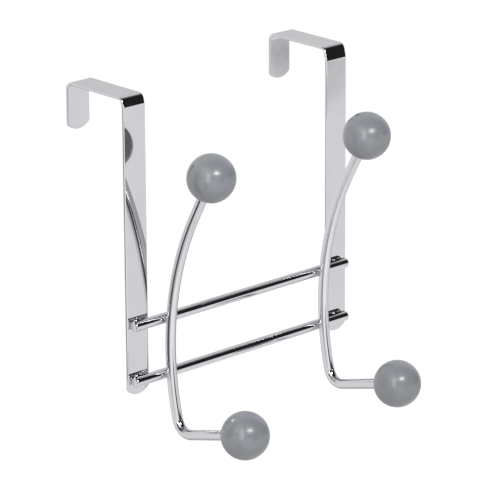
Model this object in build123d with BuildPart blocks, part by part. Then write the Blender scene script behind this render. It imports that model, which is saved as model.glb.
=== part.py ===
# Over-door coat rack: two folded strip hangers, two cross rods, two bent wire double hooks
# and a ball on each hook end. Sizes are in millimetres and degrees.
# +Z is up, X runs along the rods and +Y goes into the door. The origin is midway between
# the hangers, on the top front edge of the door.

import os
from math import sqrt

from build123d import *

# Door that the hangers go over
door_thickness = 40.0
door_clearance = 1.5

# Hangers, folded from flat strip
strip_width = 14.5
strip_thickness = 1.6
strip_edge_chamfer = 0.3  # broken edges of the strip
fold_radius = 2.7  # inside of each fold
tip_radius = 9.5  # arc across each end of the strip
tip_corner_radius = 1.2  # where that arc meets the long edges
hanger_pitch = 140.0
front_leg_length = 156.5
back_leg_length = 24.5

# Cross rods
rod_diameter = 5.5
rod_length = 150.0
rod_end_chamfer = 0.5
rod_rise = 8.0  # from the lower ends of the hangers up to the lower rod
rod_pitch = 30.0
rod_seat_depth = 0.2  # weld flat where a rod lies on a hanger
rod_seat_margin = 0.1  # the flat runs this far past the strip

# Hook wires
wire_diameter = 5.5
wire_end_chamfer = 0.5
hook_pitch = 108.0
saddle_depth = 0.4  # how far a wire is set into the rods by its welds
bow_radius = 153.0
bow_upper_angle = 29.0  # from the middle of the bow up to the neck
bow_lower_angle = 14.3  # and down to the crook
neck_length = 26.7  # from the bow to the centre of the upper ball
crook_radius = 8.2
prong_rise = 15.5
prong_length = 42.5  # from the crook to the centre of the lower ball

# Balls
ball_diameter = 25.0
socket_depth = 15.0
socket_clearance = 0.05  # glue film round the wire
socket_end_gap = 0.5
socket_mouth_chamfer = 0.4

# Places that several pieces share
door_gap = door_thickness + door_clearance
hanger_places = {"left": -hanger_pitch / 2, "right": hanger_pitch / 2}
hook_places = {"left": -hook_pitch / 2, "right": hook_pitch / 2}
lower_rod_z = -front_leg_length + rod_rise
rod_heights = {"upper": lower_rod_z + rod_pitch, "lower": lower_rod_z}
rod_y = -strip_thickness - rod_diameter / 2 + rod_seat_depth
bow_centre_z = lower_rod_z + rod_pitch / 2
weld_distance = bow_radius + wire_diameter / 2 + rod_diameter / 2 - saddle_depth
bow_centre_y = rod_y - sqrt(weld_distance**2 - (rod_pitch / 2) ** 2)
ball_radius = ball_diameter / 2
wire_past_centre = socket_depth - socket_end_gap - ball_radius

os.makedirs("parts", exist_ok=True)


def save(builder, name):
    builder.part.label = name
    export_step(builder.part, f"parts/{name}.step")


def door_hanger(x):
    """A strip that goes up the back of the door, over its top and down its front."""
    with BuildPart() as hanger:
        with BuildSketch(Plane.YZ.offset(x)):
            with BuildLine():
                FilletPolyline(
                    (door_gap, -back_leg_length),
                    (door_gap, 0),
                    (0, 0),
                    (0, -front_leg_length),
                    radius=fold_radius,
                )
                offset(amount=strip_thickness, side=Side.RIGHT)
            make_face()
        extrude(amount=strip_width / 2, both=True)
        for y, leg_length in ((0, front_leg_length), (door_gap, back_leg_length)):
            with BuildSketch(Plane.XZ.offset(-y)):
                with Locations((x, -leg_length)):
                    Rectangle(2 * strip_width, 2 * tip_radius)
                with Locations((x, -leg_length + tip_radius)):
                    Circle(tip_radius, mode=Mode.SUBTRACT)
            extrude(amount=2 * strip_thickness, both=True, mode=Mode.SUBTRACT)
        across = hanger.edges().filter_by(Axis.Y).filter_by(lambda e: e.length < 2 * strip_thickness)
        fillet(across, tip_corner_radius)
        across = hanger.edges().filter_by(Axis.Y).filter_by(lambda e: e.length < 2 * strip_thickness)
        along = hanger.edges().filter_by(Axis.X, reverse=True) - across
        chamfer(along, strip_edge_chamfer)
    return hanger


def hook_path(x):
    """The wire's centre line, from inside the lower ball to inside the upper one."""
    with BuildLine(Plane.YZ.offset(x)) as path:
        bow = CenterArc(
            (bow_centre_y, bow_centre_z),
            bow_radius,
            -bow_lower_angle,
            bow_lower_angle + bow_upper_angle,
        )
        Line(bow @ 1, bow @ 1 + (bow % 1) * (neck_length + wire_past_centre))
        crook_turn = 90 + prong_rise - bow_lower_angle
        crook = JernArc(bow @ 0, (bow % 0) * -1, crook_radius, -crook_turn)
        Line(crook @ 1, crook @ 1 + (crook % 1) * (prong_length + wire_past_centre))
    return path.wires()[0]


def hook_wire(path):
    """Round wire bent along the path."""
    with BuildPart() as wire:
        with BuildSketch(Plane(origin=path @ 0, z_dir=path % 0)):
            Circle(wire_diameter / 2)
        sweep(path=path)
        ends = wire.faces().filter_by(GeomType.PLANE).edges()
        chamfer(ends, wire_end_chamfer)
    return wire


def cross_rod(z, wires):
    """A straight rod, flattened on the hangers and saddled under the hook wires."""
    with BuildPart() as rod:
        with BuildSketch(Plane.YZ):
            with Locations((rod_y, z)):
                Circle(rod_diameter / 2)
        extrude(amount=rod_length / 2, both=True)
        chamfer(rod.faces().filter_by(Axis.X).edges(), rod_end_chamfer)
        with Locations([(x, 0, z) for x in hanger_places.values()]):
            Box(
                strip_width + 2 * rod_seat_margin,
                2 * strip_thickness,
                rod_diameter,
                mode=Mode.SUBTRACT,
            )
        for wire in wires:
            add(wire.part, mode=Mode.SUBTRACT)
    return rod


def ball(centre, outward):
    """A ball with a blind socket; outward points from its centre to the socket's mouth."""
    bore_radius = wire_diameter / 2 + socket_clearance
    half_plane = Plane(origin=centre, x_dir=(1, 0, 0), z_dir=Vector(1, 0, 0).cross(outward))
    with BuildPart() as knob:
        with BuildSketch(half_plane) as half:
            with BuildLine():
                CenterArc((0, 0), ball_radius, -90, 180)
                Line((0, ball_radius), (0, -ball_radius))
            make_face()
            with Locations((0, ball_radius - socket_depth / 2)):
                Rectangle(2 * bore_radius, socket_depth, mode=Mode.SUBTRACT)
            mouth = half.vertices().sort_by(Axis.Y)[-1]
            chamfer(mouth, socket_mouth_chamfer)
        revolve(axis=Axis(centre, outward))
    return knob


for side, x in hanger_places.items():
    save(door_hanger(x), f"{side}_door_hanger")

hook_wires = []
for side, x in hook_places.items():
    path = hook_path(x)
    wire = hook_wire(path)
    hook_wires.append(wire)
    save(wire, f"{side}_hook_wire")
    ends = sorted([(path @ 0, path % 0), (path @ 1, (path % 1) * -1)], key=lambda end: end[0].Z)
    for level, (tip, inward) in zip(("lower", "upper"), ends):
        save(ball(tip + inward * wire_past_centre, inward), f"{level}_{side}_ball")

for level, z in rod_heights.items():
    save(cross_rod(z, hook_wires), f"{level}_cross_rod")
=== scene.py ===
import math

import bpy
from mathutils import Matrix, Vector


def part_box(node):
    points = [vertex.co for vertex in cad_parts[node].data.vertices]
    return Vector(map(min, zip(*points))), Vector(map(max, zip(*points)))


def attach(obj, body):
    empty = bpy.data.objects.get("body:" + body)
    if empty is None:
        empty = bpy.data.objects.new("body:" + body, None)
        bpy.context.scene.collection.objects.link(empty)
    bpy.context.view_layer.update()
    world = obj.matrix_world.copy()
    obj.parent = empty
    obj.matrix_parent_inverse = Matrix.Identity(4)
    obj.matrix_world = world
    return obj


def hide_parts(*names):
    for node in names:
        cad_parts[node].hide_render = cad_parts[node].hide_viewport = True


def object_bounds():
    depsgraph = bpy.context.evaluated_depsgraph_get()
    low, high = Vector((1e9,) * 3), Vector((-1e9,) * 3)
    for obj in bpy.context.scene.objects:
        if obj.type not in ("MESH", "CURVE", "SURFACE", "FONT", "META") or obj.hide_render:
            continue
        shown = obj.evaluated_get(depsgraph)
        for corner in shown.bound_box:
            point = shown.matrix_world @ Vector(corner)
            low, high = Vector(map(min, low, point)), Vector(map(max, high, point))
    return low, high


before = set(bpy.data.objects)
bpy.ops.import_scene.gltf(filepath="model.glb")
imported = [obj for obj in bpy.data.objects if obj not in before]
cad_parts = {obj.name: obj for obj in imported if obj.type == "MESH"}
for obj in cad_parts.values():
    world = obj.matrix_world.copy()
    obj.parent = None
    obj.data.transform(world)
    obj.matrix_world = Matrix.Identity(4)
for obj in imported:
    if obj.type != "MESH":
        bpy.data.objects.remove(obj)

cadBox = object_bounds()
mm = 0.001  # sizes are given in mm and angles in degrees, unless a note says otherwise
print("frame loaded,", len(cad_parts), "solids")


# sRGB hex code to the linear colour that a socket takes
def hexColour(code):
    srgb = [int(code[i:i + 2], 16) / 255 for i in (1, 3, 5)]
    linear = [c / 12.92 if c <= 0.04045 else ((c + 0.055) / 1.055) ** 2.4 for c in srgb]
    return (*linear, 1.0)


# One node with its settings; an input is a plain value or the socket it is linked to. A Mix
# node's inputs go by number: 0 is the share, 2 and 3 are plain values, 6 and 7 are colours.
def addNode(tree, kind, settings=None, inputs=None):
    node = tree.nodes.new(kind)
    for name, value in (settings or {}).items():
        setattr(node, name, value)
    for name, value in (inputs or {}).items():
        if isinstance(value, bpy.types.NodeSocket):
            tree.links.new(value, node.inputs[name])
        else:
            node.inputs[name].default_value = value
    return node


def newMaterial(name):
    material = bpy.data.materials.new(name)
    material.use_nodes = True
    material.node_tree.nodes.clear()
    return material, material.node_tree


# Unit vector for a compass angle from +X towards +Y and a height angle, both in degrees
def pointing(compass, height):
    turn, rise = math.radians(compass), math.radians(height)
    level = math.cos(rise)
    return Vector((math.cos(turn) * level, math.sin(turn) * level, math.sin(rise)))


noiseSpan = (0.3, 0.7)  # most values of a noise texture lie between these

# Bright chrome: nickel and chromium plated on polished steel. It mirrors the room, slightly
# cool in tone, with faint clouds in the plate, a wiped haze and a slow ripple from polishing.
chromePlate = {
    "clear": "#D2D2D6",
    "clouded": "#CACACE",
    "cloudSize": 11.0,
    "cloudDetail": 3.0,
    "hazeSize": 3.5,
    "hazeDetail": 4.0,
    "hazeBreakup": 0.6,
    "hazeRoughness": (0.02, 0.05),
    "rippleSize": 7.0,
    "rippleDetail": 1.0,
    "rippleDepth": 0.0015,
}


def makeChromePlate():
    plate = chromePlate
    material, tree = newMaterial("chromePlatedSteel")
    place = addNode(tree, "ShaderNodeTexCoord").outputs["Object"]
    clouds = addNode(tree, "ShaderNodeTexNoise", None,
                     {"Vector": place, "Scale": 1 / (plate["cloudSize"] * mm),
                      "Detail": plate["cloudDetail"]})
    tone = addNode(tree, "ShaderNodeMix", {"data_type": "RGBA"},
                   {0: clouds.outputs["Fac"], 6: hexColour(plate["clear"]),
                    7: hexColour(plate["clouded"])})
    haze = addNode(tree, "ShaderNodeTexNoise", None,
                   {"Vector": place, "Scale": 1 / (plate["hazeSize"] * mm),
                    "Detail": plate["hazeDetail"], "Roughness": plate["hazeBreakup"]})
    low, high = plate["hazeRoughness"]
    roughness = addNode(tree, "ShaderNodeMapRange", None,
                        {"Value": haze.outputs["Fac"], "From Min": noiseSpan[0],
                         "From Max": noiseSpan[1], "To Min": low, "To Max": high})
    ripple = addNode(tree, "ShaderNodeTexNoise", None,
                     {"Vector": place, "Scale": 1 / (plate["rippleSize"] * mm),
                      "Detail": plate["rippleDetail"]})
    relief = addNode(tree, "ShaderNodeBump", None,
                     {"Height": ripple.outputs["Fac"], "Strength": 1.0,
                      "Distance": plate["rippleDepth"] * mm})
    shader = addNode(tree, "ShaderNodeBsdfPrincipled", None,
                     {"Base Color": tone.outputs[2], "Metallic": 1.0,
                      "Roughness": roughness.outputs["Result"], "Normal": relief.outputs["Normal"]})
    addNode(tree, "ShaderNodeOutputMaterial", None, {"Surface": shader.outputs["BSDF"]})
    return material


# Grey ABS, injection moulded in a polished tool: an even cool grey with a slow drift in tone,
# soft-edged highlights under a clearer gloss, and the faint unevenness of a moulded skin.
greyAbs = {
    "light": "#8E9197",
    "dark": "#898C92",
    "driftSize": 9.0,
    "speckSize": 0.9,        # drawn coarser than real pigment so that it shows
    "speckShare": 0.25,      # against the drift
    "toneSpan": (0.4, 0.85),  # most values of drift and specks together lie between these
    "skinSize": 2.4,
    "skinDepth": 0.001,
    "skinRoughness": (0.3, 0.38),
    "noiseDetail": 2.0,      # of the drift, the specks and the skin
    "ior": 1.53,
    "gloss": 0.6,
    "glossRoughness": 0.15,
}


def makeGreyAbs():
    plastic = greyAbs
    material, tree = newMaterial("mouldedGreyAbs")
    place = addNode(tree, "ShaderNodeTexCoord").outputs["Object"]
    drift = addNode(tree, "ShaderNodeTexNoise", None,
                    {"Vector": place, "Scale": 1 / (plastic["driftSize"] * mm),
                     "Detail": plastic["noiseDetail"]})
    specks = addNode(tree, "ShaderNodeTexNoise", None,
                     {"Vector": place, "Scale": 1 / (plastic["speckSize"] * mm),
                      "Detail": plastic["noiseDetail"]})
    blend = addNode(tree, "ShaderNodeMath", {"operation": "MULTIPLY_ADD"},
                    {0: specks.outputs["Fac"], 1: plastic["speckShare"], 2: drift.outputs["Fac"]})
    share = addNode(tree, "ShaderNodeMapRange", None,
                    {"Value": blend.outputs[0], "From Min": plastic["toneSpan"][0],
                     "From Max": plastic["toneSpan"][1]})
    tone = addNode(tree, "ShaderNodeMix", {"data_type": "RGBA"},
                   {0: share.outputs["Result"], 6: hexColour(plastic["dark"]),
                    7: hexColour(plastic["light"])})
    skin = addNode(tree, "ShaderNodeTexNoise", None,
                   {"Vector": place, "Scale": 1 / (plastic["skinSize"] * mm),
                    "Detail": plastic["noiseDetail"]})
    low, high = plastic["skinRoughness"]
    roughness = addNode(tree, "ShaderNodeMapRange", None,
                        {"Value": skin.outputs["Fac"], "From Min": noiseSpan[0],
                         "From Max": noiseSpan[1], "To Min": low, "To Max": high})
    relief = addNode(tree, "ShaderNodeBump", None,
                     {"Height": skin.outputs["Fac"], "Strength": 1.0,
                      "Distance": plastic["skinDepth"] * mm})
    shader = addNode(tree, "ShaderNodeBsdfPrincipled", None,
                     {"Base Color": tone.outputs[2], "Roughness": roughness.outputs["Result"],
                      "IOR": plastic["ior"], "Coat Weight": plastic["gloss"],
                      "Coat Roughness": plastic["glossRoughness"],
                      "Normal": relief.outputs["Normal"]})
    addNode(tree, "ShaderNodeOutputMaterial", None, {"Surface": shader.outputs["BSDF"]})
    return material


chrome = makeChromePlate()
greyPlastic = makeGreyAbs()
print("materials made")


# A finished piece stands for its solid, which it hides, and rides on the rack
def finishPiece(name, mesh, node):
    piece = bpy.data.objects.new(name, mesh)
    bpy.context.scene.collection.objects.link(piece)
    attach(piece, "root")
    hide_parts(node)
    return piece


# A mesh from points that know their own normals, so that flats and bends mirror cleanly
def smoothMesh(name, points, normals, faces, material):
    mesh = bpy.data.meshes.new(name)
    mesh.from_pydata(points, [], faces)
    mesh.materials.append(material)
    mesh.shade_smooth()
    mesh.normals_split_custom_set_from_vertices(normals)
    mesh.update()
    return mesh


# Door hangers: flat strip with rolled edges and arched ends, folded over the door. Below the
# front fold the strip leans back a little, over a longer stretch on the right than on the left.
hanger = {
    "thickness": 1.6,
    "backFold": 2.7,         # inside radius
    "frontFold": {"left": (2.8, 1.7), "right": (3.0, 1.9)},  # down the leg and along the top
    "flat": {"left": 1.85, "right": 3.9},  # how long the leaning stretch is
    "flatLean": 12.0,
    "flatBend": 1.0,         # inside radius between the leg and the flat
    "backLeg": 24.5,
    "edgeRadius": 0.72,      # rolled edges
    "tipRadius": 9.5,
    "tipCorner": 1.2,
    "edgeSteps": 8,
    "foldSteps": 28,
    "flatSteps": 6,
    "tipSteps": 36,
    "cornerSteps": 6,
}


# Half outline of a strip end: distance along, place across, and the outward normal of both
def tipOutline(halfWidth):
    big, corner = hanger["tipRadius"] * mm, hanger["tipCorner"] * mm
    bigSteps, cornerSteps = hanger["tipSteps"], hanger["cornerSteps"]
    cornerAcross = halfWidth - corner
    cornerAlong = big - math.sqrt((big - corner) ** 2 - cornerAcross ** 2)
    meet = math.atan2(big - cornerAlong, cornerAcross)  # where the corner runs into the big arc
    cornerAngles = [meet * i / cornerSteps for i in range(cornerSteps)]
    bigAngles = [meet + (math.pi - 2 * meet) * i / bigSteps for i in range(bigSteps + 1)]
    otherAngles = [math.pi - angle for angle in reversed(cornerAngles)]
    outline = []
    for angles, radius, along, across in ((cornerAngles, corner, cornerAlong, cornerAcross),
                                          (bigAngles, big, big, 0.0),
                                          (otherAngles, corner, cornerAlong, -cornerAcross)):
        for angle in angles:
            nAlong, nAcross = -math.sin(angle), math.cos(angle)
            outline.append((along + radius * nAlong, across + radius * nAcross, nAlong, nAcross))
    return outline


# A point of a quarter turn, the way on along it and its outward normal; first and second point
# outwards where the turn starts and ends, and are as long as the turn is deep there
def quarterTurn(angle, centre, first, second):
    cosine, sine = math.cos(angle), math.sin(angle)
    spot = centre + first * cosine + second * sine
    forward = second * cosine - first * sine
    out = first * cosine / first.length_squared + second * sine / second.length_squared
    return spot, forward.normalized(), out.normalized()


def makeHanger(side):
    node = f"{side}_door_hanger"
    lo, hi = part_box(node)
    thick, edge = hanger["thickness"] * mm, hanger["edgeRadius"] * mm
    drop, reach = (size * mm for size in hanger["frontFold"][side])
    fold, bend, flat = hanger["backFold"] * mm, hanger["flatBend"] * mm, hanger["flat"][side] * mm
    middle, halfWidth = (lo.x + hi.x) / 2, (hi.x - lo.x) / 2
    frontY, backY, topZ = lo.y + thick, hi.y - thick, hi.z - thick  # faces that touch the door
    ahead, over = Vector((0, -1, 0)), Vector((0, 0, 1))

    # Inner face of the strip from its front foot to its back one
    lean = math.radians(hanger["flatLean"])
    foldStart = math.atan(drop / reach * math.tan(lean))
    flatRise = bend * math.sin(lean) + flat * math.cos(lean)
    legFoot = Vector((0, frontY, lo.z))
    legTop = Vector((0, frontY, topZ - drop * (1 - math.sin(foldStart)) - flatRise))
    bendCentre = legTop - ahead * bend
    flatFoot, flatWay, flatOut = quarterTurn(lean, bendCentre, ahead * bend, over * bend)
    flatHead = flatFoot + flatWay * flat
    foldCentre = flatHead - ahead * reach * math.cos(foldStart) - over * drop * math.sin(foldStart)
    foldHead = foldCentre + over * drop
    backCentre = Vector((0, backY - fold, topZ - fold))
    backDrop = hanger["backLeg"] * mm - fold
    rightAngle = math.pi / 2
    foldTurn = rightAngle - foldStart

    # Each stretch: its length, its steps, and what is at a share of it
    stretches = [
        (legTop.z - lo.z, 1, lambda s: (legFoot.lerp(legTop, s), over, ahead)),
        (bend * lean, hanger["flatSteps"],
         lambda s: quarterTurn(s * lean, bendCentre, ahead * bend, over * bend)),
        (flat, 1, lambda s: (flatFoot.lerp(flatHead, s), flatWay, flatOut)),
        ((drop + reach) / 2 * foldTurn, hanger["foldSteps"],
         lambda s: quarterTurn(foldStart + s * foldTurn, foldCentre, ahead * reach, over * drop)),
        (backCentre.y - foldHead.y, 1,
         lambda s: (foldHead.lerp(backCentre + over * fold, s), -ahead, over)),
        (fold * rightAngle, hanger["foldSteps"],
         lambda s: quarterTurn(s * rightAngle, backCentre, over * fold, -ahead * fold)),
        (backDrop, 1, lambda s: (backCentre - ahead * fold - over * s * backDrop, -over, -ahead)),
    ]
    total = sum(length for length, steps, place in stretches)

    # Where a point of the flat strip goes: its place on the inner face, the way on and the way out
    def folded(along):
        for length, steps, place in stretches[:-1]:
            if along <= length:
                return place(along / length)
            along -= length
        length, steps, place = stretches[-1]
        return place(along / length)

    stations, start = [], 0.0
    for length, steps, place in stretches:
        if steps > 1:
            stations += [start + length * i / steps for i in range(steps + 1)]
        start += length
    tip = tipOutline(halfWidth)
    outline = list(tip)
    outline += [(s, -halfWidth, 0.0, -1.0) for s in stations]
    outline += [(total - along, -across, -nAlong, -nAcross)
                for along, across, nAlong, nAcross in tip]
    outline += [(s, halfWidth, 0.0, 1.0) for s in reversed(stations)]

    # The edge is rolled from the inner face round to the outer one
    quarter = [90 * i / hanger["edgeSteps"] for i in range(hanger["edgeSteps"] + 1)]
    roll = [(math.radians(angle - 90), edge) for angle in quarter]
    roll += [(math.radians(angle), thick - edge) for angle in quarter]
    points, normals = [], []
    for angle, level in roll:
        inset = edge * (1 - math.cos(angle))
        for along, across, nAlong, nAcross in outline:
            spot, forward, out = folded(along - inset * nAlong)
            spot += out * (level + edge * math.sin(angle))
            points.append(spot + Vector((middle + across - inset * nAcross, 0, 0)))
            edgeWay = forward * nAlong + Vector((nAcross, 0, 0))
            normals.append(edgeWay * math.cos(angle) + out * math.sin(angle))

    count, ends, runs = len(outline), len(tip), len(stations)
    lastRing = (len(roll) - 1) * count
    faces = []
    for ring in range(0, lastRing, count):
        for i in range(count):
            j = (i + 1) % count
            faces.append((ring + j, ring + i, ring + count + i, ring + count + j))
    leftEdge = [ends + i for i in range(runs)]
    rightEdge = [count - 1 - i for i in range(runs)]
    inner = [(rightEdge[0], *range(ends), leftEdge[0])]
    inner += [(rightEdge[i], leftEdge[i], leftEdge[i + 1], rightEdge[i + 1])
              for i in range(runs - 1)]
    inner += [(rightEdge[-1], leftEdge[-1], *range(ends + runs, 2 * ends + runs))]
    outer = [tuple(lastRing + i for i in reversed(face)) for face in inner]
    faces += outer + inner
    return smoothMesh(node, points, normals, faces, chrome)


for side in ("left", "right"):
    finishPiece(f"{side}DoorHanger", makeHanger(side), f"{side}_door_hanger")
print("door hangers folded")


# Arc of a turned profile: distance along the axis, radius, and the outward normal of both;
# side is -1 for a hollow corner
def profileArc(centre, radius, start, end, steps, side=1):
    arc = []
    for i in range(steps + 1):
        angle = math.radians(start + (end - start) * i / steps)
        nAlong, nRadius = math.cos(angle), math.sin(angle)
        arc.append((centre[0] + side * radius * nAlong, centre[1] + side * radius * nRadius,
                    nAlong, nRadius))
    return arc


onAxis = 1e-7  # m, a profile point with a smaller radius is a single point on the axis


# Points, normals and faces of a profile turned round an axis; it starts and ends on the axis
def turned(profile, centre, axis, steps):
    across = axis.orthogonal().normalized()
    beside = axis.cross(across)
    points, normals, faces, rings = [], [], [], []
    for along, radius, nAlong, nRadius in profile:
        turns = 1 if radius < onAxis else steps
        rings.append(range(len(points), len(points) + turns))
        for i in range(turns):
            angle = 2 * math.pi * i / steps
            out = across * math.cos(angle) + beside * math.sin(angle)
            points.append(centre + axis * along + out * radius)
            normals.append(axis * nAlong + out * nRadius)
    for first, second in zip(rings, rings[1:]):
        for i in range(steps):
            j = (i + 1) % steps
            if len(first) == 1:
                faces.append((first[0], second[j], second[i]))
            elif len(second) == 1:
                faces.append((first[i], first[j], second[0]))
            else:
                faces.append((first[i], first[j], second[j], second[i]))
    return points, normals, faces


# Cross rods: straight drawn rod with rounded ends, and a weld bead above it on each hanger
rod = {
    "endRadius": 0.9,
    "endSteps": 6,
    "roundSteps": 72,
    "beadHalf": (2.4, 0.85, 1.15),  # along the rod, away from the hanger and up
    "beadAhead": 0.3,        # its middle before the hanger's face
    "beadRise": 1.9,         # and above the middle of the rod
    "beadSteps": 12,
}
rodWay = Vector((1, 0, 0))


# An egg-shaped bead that is flat where it lies on the hanger
def weldBead(middle, faceY):
    half = [size * mm for size in rod["beadHalf"]]
    profile = profileArc((0.0, 0.0), 1.0, 180, 0, rod["beadSteps"])
    egg, ways, faces = turned(profile, Vector((0, 0, 0)), rodWay, 2 * rod["beadSteps"])
    points = [middle + Vector([size * way for size, way in zip(half, spot)]) for spot in egg]
    for spot in points:
        spot.y = min(spot.y, faceY)
    normals = [Vector([way / size for size, way in zip(half, out)]).normalized() for out in ways]
    return points, normals, faces


def makeRod(node):
    lo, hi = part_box(node)
    half, radius = (hi.x - lo.x) / 2, (hi.z - lo.z) / 2
    end = rod["endRadius"] * mm
    centre = Vector(((lo.x + hi.x) / 2, lo.y + radius, (lo.z + hi.z) / 2))
    profile = [(-half, 0.0, -1.0, 0.0)]
    profile += profileArc((end - half, radius - end), end, 180, 90, rod["endSteps"])
    profile += profileArc((half - end, radius - end), end, 90, 0, rod["endSteps"])
    profile += [(half, 0.0, 1.0, 0.0)]
    points, normals, faces = turned(profile, centre, rodWay, rod["roundSteps"])
    for side in ("left", "right"):
        stripLo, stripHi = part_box(f"{side}_door_hanger")
        middle = Vector(((stripLo.x + stripHi.x) / 2, stripLo.y - rod["beadAhead"] * mm,
                         centre.z + rod["beadRise"] * mm))
        bead, out, loops = weldBead(middle, stripLo.y)
        faces += [tuple(len(points) + i for i in loop) for loop in loops]
        points += bead
        normals += out
    return smoothMesh(node, points, normals, faces, chrome)


for level in ("upper", "lower"):
    node = f"{level}_cross_rod"
    finishPiece(f"{level}CrossRod", makeRod(node), node)
print("cross rods turned and welded")


# Hook wires: round wire bent into a long bow and a crook, in an upright plane
hookWire = {
    "diameter": 5.5,
    "saddle": 0.4,           # how far the wire is set into the rods
    "bowRadius": 153.0,
    "bowUpperAngle": 29.0,
    "bowLowerAngle": 14.3,
    "neckLength": 26.7,      # bow to upper ball centre
    "crookRadius": 8.2,
    "prongRise": 15.5,       # degrees
    "prongLength": 42.5,     # crook to lower ball centre
    "pastCentre": 2.0,       # end of the wire inside a ball
    "bendSlack": 0.002,      # share that leaves a hair of straight wire between bow and crook
    "bendSteps": 56,
    "roundSteps": 48,
}


# Straight runs of a wire, from the lower ball to the upper one, and the ways to both balls
def hookRuns(x):
    wire = hookWire
    upperRod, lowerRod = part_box("upper_cross_rod"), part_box("lower_cross_rod")
    rodRadius = (upperRod[1].z - upperRod[0].z) / 2
    rodY = upperRod[0].y + rodRadius
    halfPitch = (upperRod[0].z - lowerRod[0].z) / 2
    bowRadius, crookRadius = wire["bowRadius"] * mm, wire["crookRadius"] * mm
    weld = bowRadius + wire["diameter"] * mm / 2 + rodRadius - wire["saddle"] * mm
    bowDepth = math.sqrt(weld ** 2 - halfPitch ** 2)
    bowCentre = Vector((x, rodY - bowDepth, lowerRod[0].z + rodRadius + halfPitch))
    upper, lower = math.radians(wire["bowUpperAngle"]), math.radians(wire["bowLowerAngle"])
    rise = math.radians(wire["prongRise"])
    neckWay = Vector((0, -math.sin(upper), math.cos(upper)))
    dropWay = Vector((0, -math.sin(lower), -math.cos(lower)))
    prongWay = Vector((0, -math.cos(rise), math.sin(rise)))
    bowTop = bowCentre + bowRadius * Vector((0, math.cos(upper), math.sin(upper)))
    bowEnd = bowCentre + bowRadius * Vector((0, math.cos(lower), -math.sin(lower)))
    crookReach = crookRadius * math.tan((math.pi / 2 + rise - lower) / 2)
    crookCorner = bowEnd + dropWay * crookReach
    bowCorner = bowTop - neckWay * bowRadius * math.tan((upper + lower) / 2)
    upperBall = bowTop + neckWay * wire["neckLength"] * mm
    lowerBall = crookCorner + prongWay * (crookReach + wire["prongLength"] * mm)
    past = wire["pastCentre"] * mm
    corners = [(lowerBall + prongWay * past, 0.0), (crookCorner, crookRadius),
               (bowCorner, bowRadius), (upperBall + neckWay * past, 0.0)]
    return corners, {"upper": (upperBall, -neckWay), "lower": (lowerBall, -prongWay)}


# Bends a wire at the corners of its runs; each point's radius is the radius of its bend
def wireBender():
    tree = bpy.data.node_groups.new("wireBender", "GeometryNodeTree")
    sockets = {}
    for name, kind in (("Runs", "Geometry"), ("Wire radius", "Float"), ("Bend steps", "Int"),
                       ("Round steps", "Int"), ("Finish", "Material")):
        sockets[name] = tree.interface.new_socket(name=name, in_out="INPUT",
                                                  socket_type="NodeSocket" + kind)
    tree.interface.new_socket(name="Wire", in_out="OUTPUT", socket_type="NodeSocketGeometry")
    given = addNode(tree, "NodeGroupInput").outputs
    bendRadius = addNode(tree, "GeometryNodeInputRadius").outputs["Radius"]
    bent = addNode(tree, "GeometryNodeFilletCurve", {"mode": "POLY"},
                   {"Curve": given["Runs"], "Count": given["Bend steps"], "Radius": bendRadius})
    section = addNode(tree, "GeometryNodeCurvePrimitiveCircle", {"mode": "RADIUS"},
                      {"Resolution": given["Round steps"], "Radius": given["Wire radius"]})
    swept = addNode(tree, "GeometryNodeCurveToMesh", None,
                    {"Curve": bent.outputs["Curve"], "Profile Curve": section.outputs["Curve"],
                     "Scale": 1.0, "Fill Caps": True})
    smooth = addNode(tree, "GeometryNodeSetShadeSmooth", None,
                     {"Geometry": swept.outputs["Mesh"]})
    real = addNode(tree, "GeometryNodeRealizeInstances", None,
                   {"Geometry": smooth.outputs["Geometry"]})
    plated = addNode(tree, "GeometryNodeSetMaterial", None,
                     {"Geometry": real.outputs["Geometry"], "Material": given["Finish"]})
    addNode(tree, "NodeGroupOutput", None, {"Wire": plated.outputs["Geometry"]})
    return tree, {name: socket.identifier for name, socket in sockets.items()}


bender, benderInput = wireBender()


def makeHookWire(name, corners):
    curve = bpy.data.curves.new(name + "Runs", "CURVE")
    curve.dimensions = "3D"
    spline = curve.splines.new("POLY")
    spline.points.add(len(corners) - 1)
    for point, (spot, bendRadius) in zip(spline.points, corners):
        point.co = (*spot, 1.0)
        point.radius = bendRadius * (1 - hookWire["bendSlack"])
    runs = bpy.data.objects.new(name + "Runs", curve)
    bpy.context.scene.collection.objects.link(runs)
    modifier = runs.modifiers.new("bend", "NODES")
    modifier.node_group = bender
    modifier[benderInput["Wire radius"]] = hookWire["diameter"] * mm / 2
    modifier[benderInput["Bend steps"]] = hookWire["bendSteps"]
    modifier[benderInput["Round steps"]] = hookWire["roundSteps"]
    modifier[benderInput["Finish"]] = chrome
    depsgraph = bpy.context.evaluated_depsgraph_get()
    mesh = bpy.data.meshes.new_from_object(runs.evaluated_get(depsgraph))
    mesh.name = name
    runs.modifiers.remove(modifier)
    bpy.data.objects.remove(runs)
    return mesh


# Balls: moulded balls with a blind socket that the wire is glued into
ball = {
    "diameter": 25.0,
    "socketRadius": 2.8,
    "socketDepth": 15.0,
    "mouthRadius": 0.4,      # rounding of the socket's mouth and of its floor
    "ballSteps": 72,
    "mouthSteps": 8,
    "roundSteps": 128,
}


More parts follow.
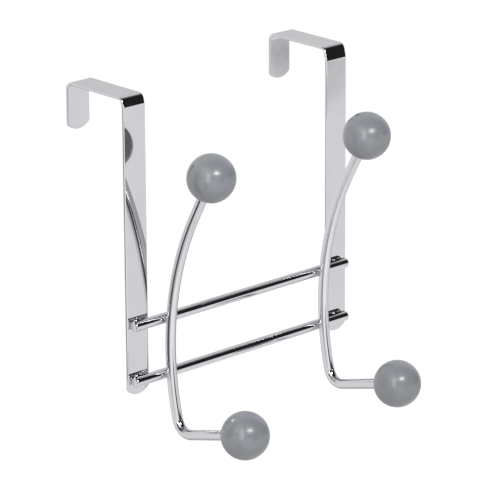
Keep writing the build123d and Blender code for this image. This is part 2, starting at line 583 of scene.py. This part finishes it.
def makeBall(node, centre, mouthWay):
    radius, bore = ball["diameter"] * mm / 2, ball["socketRadius"] * mm
    lip = ball["mouthRadius"] * mm
    lipAlong = math.sqrt((radius - lip) ** 2 - (bore + lip) ** 2)
    lipAngle = math.degrees(math.atan2(bore + lip, lipAlong))
    floorAlong = radius - ball["socketDepth"] * mm
    profile = [(-radius, 0.0, -1.0, 0.0)]
    profile += profileArc((0.0, 0.0), radius, 180, lipAngle, ball["ballSteps"])[1:-1]
    profile += profileArc((lipAlong, bore + lip), lip, lipAngle, -90, ball["mouthSteps"])
    profile += profileArc((floorAlong + lip, bore - lip), lip, -90, 0, ball["mouthSteps"], side=-1)
    profile += [(floorAlong, 0.0, 1.0, 0.0)]
    return smoothMesh(node, *turned(profile, centre, mouthWay, ball["roundSteps"]), greyPlastic)


for side in ("left", "right"):
    node = f"{side}_hook_wire"
    lo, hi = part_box(node)
    corners, ballPlaces = hookRuns((lo.x + hi.x) / 2)
    mesh = makeHookWire(f"{side}HookWire", corners)
    finishPiece(f"{side}HookWire", mesh, node)
    for level, (centre, mouthWay) in ballPlaces.items():
        node = f"{level}_{side}_ball"
        mesh = makeBall(node, centre, mouthWay)
        finishPiece(f"{level}{side.capitalize()}Ball", mesh, node)
print("hook wires bent and balls put on")


# Floor, well below the rack as under a door: pale and dead matt. The camera sees it as white
# with the rack's shadow.
floorSheet = {
    "drop": 1.2,             # m below the door top
    "reach": 30.0,           # m
    "colour": "#E6E6E6",
    "roughness": 0.9,
    "whitening": 0.74,       # what the camera sees on top of the light that falls on it
}
plainWhite = hexColour("#FFFFFF")
plainBlack = hexColour("#000000")


def makeFloor():
    reach, z = floorSheet["reach"], -floorSheet["drop"]
    corners = [(-reach, -reach, z), (reach, -reach, z), (reach, reach, z), (-reach, reach, z)]
    mesh = bpy.data.meshes.new("floorSheet")
    mesh.from_pydata(corners, [], [(0, 1, 2, 3)])
    material, tree = newMaterial("paleFloor")
    path = addNode(tree, "ShaderNodeLightPath")
    glow = addNode(tree, "ShaderNodeMath", {"operation": "MULTIPLY"},
                   {0: path.outputs["Is Camera Ray"], 1: floorSheet["whitening"]})
    shader = addNode(tree, "ShaderNodeBsdfPrincipled", None,
                     {"Base Color": hexColour(floorSheet["colour"]),
                      "Roughness": floorSheet["roughness"], "Specular IOR Level": 0.0,
                      "Emission Color": plainWhite, "Emission Strength": glow.outputs[0]})
    addNode(tree, "ShaderNodeOutputMaterial", None, {"Surface": shader.outputs["BSDF"]})
    mesh.materials.append(material)
    floor = bpy.data.objects.new("floorSheet", mesh)
    floor.visible_glossy = False  # the chrome mirrors the studio's table instead
    bpy.context.scene.collection.objects.link(floor)


makeFloor()

# Studio as the chrome mirrors it: white table all round, pale wall behind, unlit room in front.
# Compass angles run from +X towards +Y, so the room is at -90.
studio = {
    "fill": 0.35,            # even light on everything that isn't a mirror
    "table": 1.0,            # brightness of the table, the wall and the room
    "wall": 0.95,
    "room": 0.02,
    "tableEdge": (0.105, 0.045),  # height where the room gives way to the table
    "tableTilt": 0.15,       # and how much higher that is on the left
    "wallCompass": 71,
    "wallEdge": (-0.13, 0.55),  # depth where the room gives way to the wall
    # Brighter and dimmer places: compass, height, full and outer reach in degrees, and how much
    # of the light is there
    "spots": (
        (-108, -18, 8, 52, 1.25),         # table in front
        (8, -18, 10, 34, 0.66),           # table at the right
        (75, -45, 14, 38, 0.6),           # table behind the rack
        (47, 25, 12, 34, 0.82),           # wall at the right
        (-160, -22, 6, 19, 0.6),          # table at the left
        (-152, -42, 4, 18, 0.7),          # and closer to the rack
        (-87, -2, 4, 17, 0.3),            # far end of the table
        (-46.3, -15.2, 0.55, 0.8, 0.78),  # two small marks that the right hanger mirrors
        (-46.9, -14.85, 0.1, 0.55, 0.74),
    ),
}


def makeStudio():
    world = bpy.data.worlds.new("studio")
    bpy.context.scene.world = world
    world.use_nodes = True
    tree = world.node_tree
    tree.nodes.clear()
    way = addNode(tree, "ShaderNodeTexCoord").outputs["Generated"]
    axes = addNode(tree, "ShaderNodeSeparateXYZ", None, {0: way}).outputs

    tilted = addNode(tree, "ShaderNodeMath", {"operation": "MULTIPLY_ADD"},
                     {0: axes["X"], 1: studio["tableTilt"], 2: axes["Z"]})
    table = addNode(tree, "ShaderNodeMapRange", {"interpolation_type": "SMOOTHSTEP"},
                    {"Value": tilted.outputs[0], "From Min": studio["tableEdge"][0],
                     "From Max": studio["tableEdge"][1], "To Max": studio["table"]})
    depth = addNode(tree, "ShaderNodeVectorMath", {"operation": "DOT_PRODUCT"},
                    {0: way, 1: pointing(studio["wallCompass"], 0)})
    wall = addNode(tree, "ShaderNodeMapRange", {"interpolation_type": "SMOOTHSTEP"},
                   {"Value": depth.outputs["Value"], "From Min": studio["wallEdge"][0],
                    "From Max": studio["wallEdge"][1], "To Min": studio["room"],
                    "To Max": studio["wall"]})
    light = addNode(tree, "ShaderNodeMath", {"operation": "MAXIMUM"},
                    {0: table.outputs["Result"], 1: wall.outputs["Result"]})
    for compass, height, full, outer, share in studio["spots"]:
        near = addNode(tree, "ShaderNodeVectorMath", {"operation": "DOT_PRODUCT"},
                       {0: way, 1: pointing(compass, height)})
        gain = addNode(tree, "ShaderNodeMapRange", {"interpolation_type": "SMOOTHSTEP"},
                       {"Value": near.outputs["Value"], "From Min": math.cos(math.radians(outer)),
                        "From Max": math.cos(math.radians(full)), "To Min": 1.0, "To Max": share})
        light = addNode(tree, "ShaderNodeMath", {"operation": "MULTIPLY"},
                        {0: light.outputs[0], 1: gain.outputs["Result"]})

    # Mirrors see the studio, the camera and clear things see white, the rest gets even light
    path = addNode(tree, "ShaderNodeLightPath").outputs
    lit = addNode(tree, "ShaderNodeMix", {"data_type": "FLOAT"},
                  {0: path["Is Glossy Ray"], 2: studio["fill"], 3: light.outputs[0]})
    clear = addNode(tree, "ShaderNodeMath", {"operation": "MAXIMUM"},
                    {0: path["Is Camera Ray"], 1: path["Is Transmission Ray"]})
    level = addNode(tree, "ShaderNodeMix", {"data_type": "FLOAT"},
                    {0: clear.outputs[0], 2: lit.outputs[0], 3: 1.0})
    sky = addNode(tree, "ShaderNodeBackground", None,
                  {"Color": plainWhite, "Strength": level.outputs[0]})
    addNode(tree, "ShaderNodeOutputWorld", None, {"Surface": sky.outputs["Background"]})


makeStudio()

# Dark card that stands beside the left hanger; only the chrome and the balls mirror it
sideCard = {
    "x": -140.0,             # mm
    "depths": (-30.0, 26.0),
    "heights": (-172.0, 20.0),
    "brightness": 0.12,      # as the chrome mirrors it
}


def makeSideCard():
    x, (front, back), (foot, head) = sideCard["x"], sideCard["depths"], sideCard["heights"]
    corners = [(x, front, foot), (x, back, foot), (x, back, head), (x, front, head)]
    mesh = bpy.data.meshes.new("sideCard")
    mesh.from_pydata([Vector(corner) * mm for corner in corners], [], [(0, 1, 2, 3)])
    material, tree = newMaterial("blackCard")
    shader = addNode(tree, "ShaderNodeBsdfPrincipled", None,
                     {"Base Color": plainBlack, "Specular IOR Level": 0.0,
                      "Emission Color": plainWhite, "Emission Strength": sideCard["brightness"]})
    addNode(tree, "ShaderNodeOutputMaterial", None, {"Surface": shader.outputs["BSDF"]})
    mesh.materials.append(material)
    card = bpy.data.objects.new("sideCard", mesh)
    card.visible_camera = False
    card.visible_diffuse = False
    card.visible_transmission = False
    card.visible_shadow = False
    bpy.context.scene.collection.objects.link(card)


makeSideCard()

# Lamps: compass and height seen from the rack, distance and size in metres, and how bright the
# lamp itself looks. The softbox has a brighter middle.
lamps = {
    "softboxMiddle": {"compass": -104, "height": 38.5, "distance": 1.6,
                      "size": (0.44, 0.28), "brightness": 14.0},
    "softbox": {"compass": -104, "height": 38.5, "distance": 1.62,
                "size": (1.05, 0.66), "brightness": 3.6},
    "sidePanel": {"compass": -148, "height": 23, "distance": 1.6,
                  "size": (0.6, 1.3), "brightness": 3.2},
    "stripLamp": {"compass": -58, "height": 8, "distance": 1.6,
                  "size": (0.05, 0.25), "brightness": 16.0},
    "overhead": {"compass": -177, "height": 44, "distance": 1.6,
                 "size": (1.3, 1.3), "brightness": 1.0},
}


def makeLamp(name, settings, middle):
    width, height = settings["size"]
    data = bpy.data.lights.new(name, "AREA")
    data.shape = "ELLIPSE"
    data.size, data.size_y = width, height
    area = math.pi / 4 * width * height
    data.energy = settings["brightness"] * math.pi * area  # watts for that brightness
    lamp = bpy.data.objects.new(name, data)
    way = pointing(settings["compass"], settings["height"])
    facing = way.to_track_quat("Z", "Y").to_matrix().to_4x4()
    lamp.matrix_world = Matrix.Translation(middle + way * settings["distance"]) @ facing
    lamp.visible_camera = False
    bpy.context.scene.collection.objects.link(lamp)


rackMiddle = (Vector(cadBox[0]) + Vector(cadBox[1])) / 2
for name, settings in lamps.items():
    makeLamp(name, settings, rackMiddle)
print("floor, studio and lamps set")


# Camera at the photograph's viewing angle
viewpoint = {
    "turn": -42.557,         # degrees, 0 looks along +Y
    "height": 18.221,
    "roll": -0.324,
    "distance": 1.76558,     # m
    "target": (0.005698, 0.0, -0.093452),  # m
    "lens": 249.53,          # mm
    "sensor": 36.0,          # mm wide
}


def makeCamera():
    turn, height, roll = (math.radians(viewpoint[name]) for name in ("turn", "height", "roll"))
    outward = math.cos(height)
    back = Vector((math.sin(turn) * outward, -math.cos(turn) * outward, math.sin(height)))
    level = Vector((math.cos(turn), math.sin(turn), 0.0))
    upright = back.cross(level)
    right = math.cos(roll) * level + math.sin(roll) * upright
    up = math.cos(roll) * upright - math.sin(roll) * level
    data = bpy.data.cameras.new("camera")
    data.sensor_fit = "HORIZONTAL"
    data.sensor_width, data.lens = viewpoint["sensor"], viewpoint["lens"]
    camera = bpy.data.objects.new("camera", data)
    place = Vector(viewpoint["target"]) + back * viewpoint["distance"]
    facing = Matrix((right, up, back)).transposed().to_4x4()
    camera.matrix_world = Matrix.Translation(place) @ facing
    bpy.context.scene.collection.objects.link(camera)
    bpy.context.scene.camera = camera


makeCamera()
bpy.context.scene.view_settings.view_transform = "Standard"
print("camera set")

bpy.context.view_layer.update()
